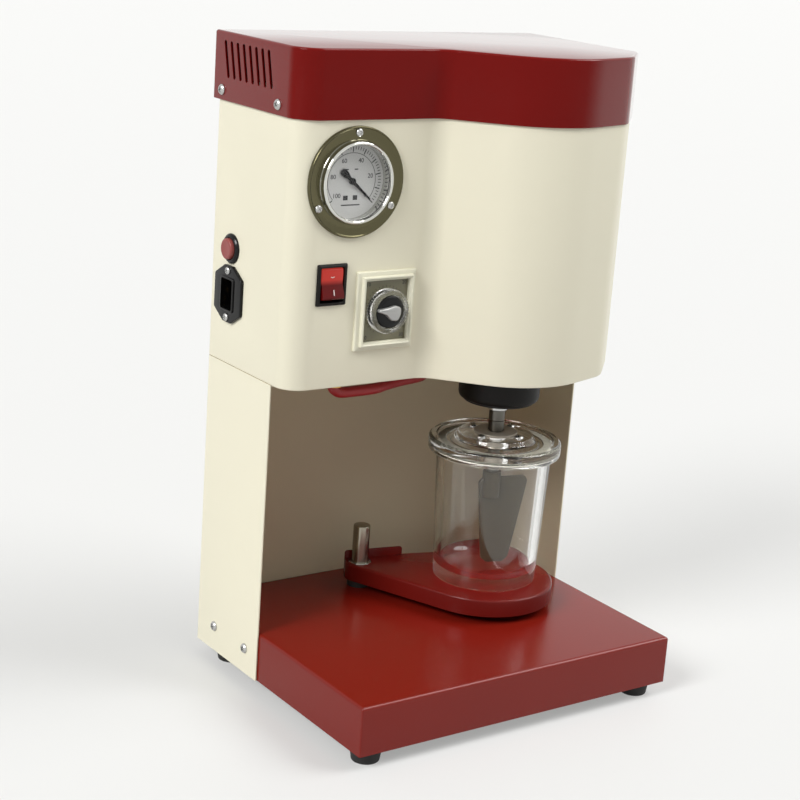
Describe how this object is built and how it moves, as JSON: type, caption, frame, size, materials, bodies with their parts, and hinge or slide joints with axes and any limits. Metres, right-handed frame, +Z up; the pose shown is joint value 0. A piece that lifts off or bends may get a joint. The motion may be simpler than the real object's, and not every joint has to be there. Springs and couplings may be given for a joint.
{
  "type": "dental_impression_mixer",
  "caption": "Bench vacuum mixer: cream sheet-steel housing on a column, red cover and base, gauge, timer, glass jar with paddle on a swinging tray",
  "frame": {"origin": "bottom centre of the overall box, on the bench under the feet", "axes": "X to the right, Y to the back, Z up"},
  "size_m": [0.3064, 0.246, 0.5],
  "materials": {
    "cream_paint": "satin",
    "red_paint": "gloss",
    "black_plastic": "matte",
    "black_gloss": "gloss",
    "rubber": "matte",
    "steel": "brushed",
    "chrome": "polished",
    "brass": "polished",
    "clear": "clear",
    "white_print": "satin",
    "cream_plastic": "satin",
    "red_lens": "gloss",
    "red_rubber": "satin",
    "pale_rubber": "satin",
    "alloy": "cast",
    "motor_paint": "satin",
    "winding": "gloss"
  },
  "bodies": {
    "stand": {"base_pan": "red_paint", "base_plate": "black_plastic", "feet": "rubber", "foot_screws": "steel", "column_shell": "cream_paint", "column_screws": "steel", "housing_shell": "cream_paint", "housing_floor": "cream_paint", "top_cover": "red_paint", "cover_screws": "steel", "gauge_case": "steel", "gauge_flange": "chrome", "gauge_glass": "clear", "gauge_dial": "white_print", "gauge_tube": "brass", "gauge_screws": "steel", "rocker_frame": "black_plastic", "timer_frame": "cream_plastic", "timer_dial": "cream_plastic", "button_bezel": "black_plastic", "button_spring": "steel", "inlet_socket": "black_plastic", "inlet_pins": "brass", "inlet_screws": "steel", "gearbox_case": "alloy", "gearbox_lid": "alloy", "bearings": "steel", "motor_can": "motor_paint", "motor_stator": "winding", "head_collar": "black_plastic", "head_seal": "rubber", "spindle_seal": "rubber", "pump_body": "motor_paint", "pump_head": "black_plastic", "inner_hoses": "pale_rubber", "hose_loop": "red_rubber", "hose_fittings": "brass", "tray_post": "chrome", "post_nut": "steel", "tray_spacer": "rubber"},
    "needle": {"gauge_needle": "black_plastic"},
    "rocker": {"rocker_key": "red_lens"},
    "timer": {"timer_ring": "clear", "timer_knob": "black_gloss"},
    "button": {"button_cap": "red_lens"},
    "tray": {"tray_pan": "red_paint", "tray_bush": "steel"},
    "jar": {"jar": "clear", "jar_lid": "clear", "lid_gasket": "pale_rubber", "lid_bush": "steel", "lid_screws": "steel"},
    "paddle": {"paddle_shaft": "steel", "paddle_blades": "steel"},
    "spindle": {"spindle": "steel", "spindle_gear": "steel"},
    "layshaft": {"lay_gear": "steel"},
    "rotor": {"motor_rotor": "steel", "motor_fan": "black_plastic"}
  },
  "joints": [
    {"name": "needle_turn", "type": "hinge", "parent": "stand", "child": "needle", "pos_m": [-0.0995, 0, 0.4045], "axis": [0, -1, 0], "range_deg": [0, 262], "stiffness_Nm_per_rad": 0.01},
    {"name": "rocker_tilt", "type": "hinge", "parent": "stand", "child": "rocker", "pos_m": [-0.115, 0.004, 0.3295], "axis": [1, 0, 0], "range_deg": [0, 20]},
    {"name": "timer_turn", "type": "hinge", "parent": "stand", "child": "timer", "pos_m": [-0.067, 0, 0.3075], "axis": [0, 1, 0], "range_deg": [0, 300]},
    {"name": "button_press", "type": "slide", "parent": "stand", "child": "button", "axis": [1, 0, 0], "range_m": [0, 0.003], "stiffness_N_per_m": 300, "springref_m": -0.003},
    {"name": "tray_swing", "type": "hinge", "parent": "stand", "child": "tray", "pos_m": [-0.0185, 0.079, 0.07], "axis": [0, 0, 1], "range_deg": [-70, 8.5]},
    {"name": "jar_lift", "type": "slide", "parent": "stand", "child": "jar", "axis": [0, 0, 1], "range_m": [0, 0.008]},
    {"name": "paddle_spin", "type": "hinge", "parent": "jar", "child": "paddle", "pos_m": [0.058, 0.01, 0.185], "axis": [0, 0, 1], "continuous": true},
    {"name": "spindle_spin", "type": "hinge", "parent": "stand", "child": "spindle", "pos_m": [0.058, 0.01, 0.25], "axis": [0, 0, 1], "continuous": true},
    {"name": "layshaft_spin", "type": "hinge", "parent": "stand", "child": "layshaft", "pos_m": [0.058, 0.0475, 0.275], "axis": [0, 0, 1], "continuous": true},
    {"name": "rotor_spin", "type": "hinge", "parent": "stand", "child": "rotor", "pos_m": [0.058, 0.01, 0.34], "axis": [0, 0, 1], "continuous": true}
  ],
  "couplings": [
    {"joint": "paddle_spin", "follows": "spindle_spin", "ratio": 1},
    {"joint": "layshaft_spin", "follows": "spindle_spin", "ratio": -1.7778},
    {"joint": "rotor_spin", "follows": "spindle_spin", "ratio": 3.1605}
  ]
}
